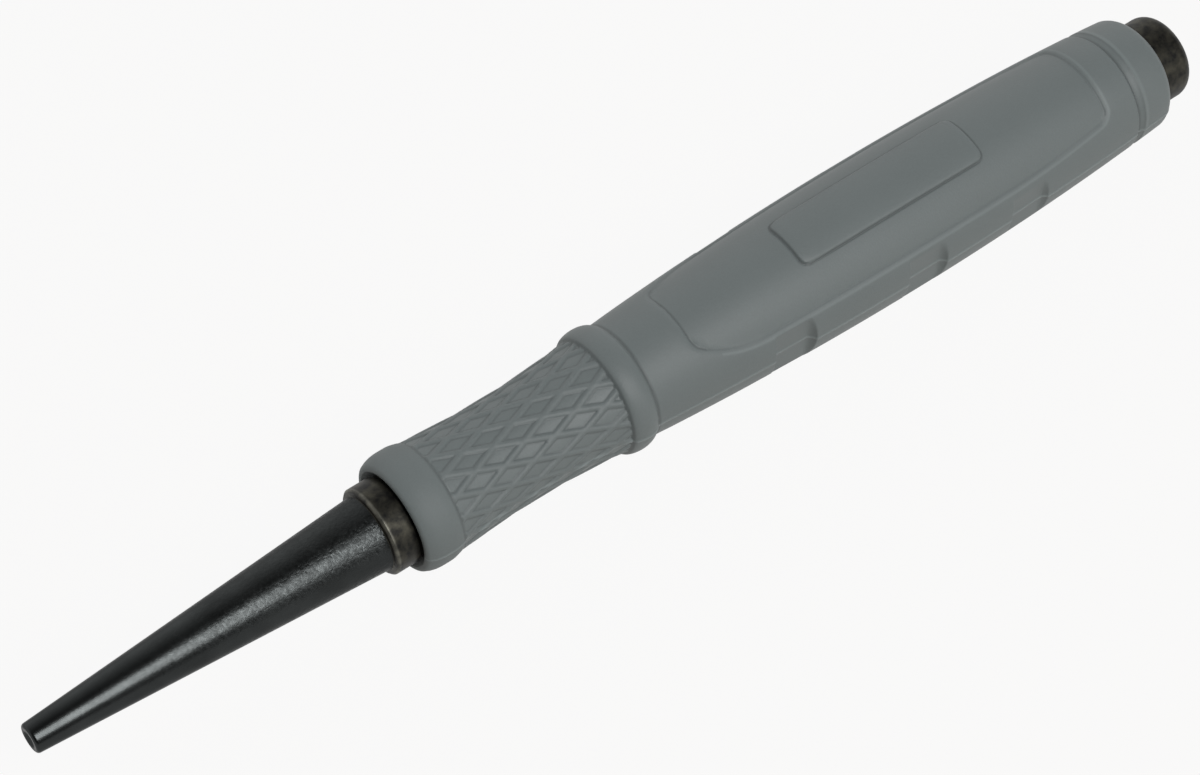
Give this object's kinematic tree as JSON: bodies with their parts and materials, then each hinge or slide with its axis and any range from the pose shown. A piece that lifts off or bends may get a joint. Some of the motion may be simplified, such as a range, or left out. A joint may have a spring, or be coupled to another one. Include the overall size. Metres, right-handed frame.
{
  "type": "nail setter",
  "caption": "Slim steel nail setter with a cupped tapered tip, a moulded soft grip with a diamond pattern and a barrel swell, and a short bare struck end.",
  "frame": {"origin": "on the tool's axis, in the middle of the bare collar in front of the grip", "axes": "+X along the tool's axis towards the struck end, +Z through the middle of the panel that carries the plate"},
  "size_m": [0.1432, 0.0154, 0.0153],
  "materials": {
    "blackened_steel": "black oxide, semi-gloss on the nose, mottled on the collar and head",
    "soft_grip_rubber": "matte moulded thermoplastic rubber"
  },
  "bodies": {
    "root": {"steel_punch": "blackened_steel", "soft_grip": "soft_grip_rubber"}
  },
  "joints": []
}
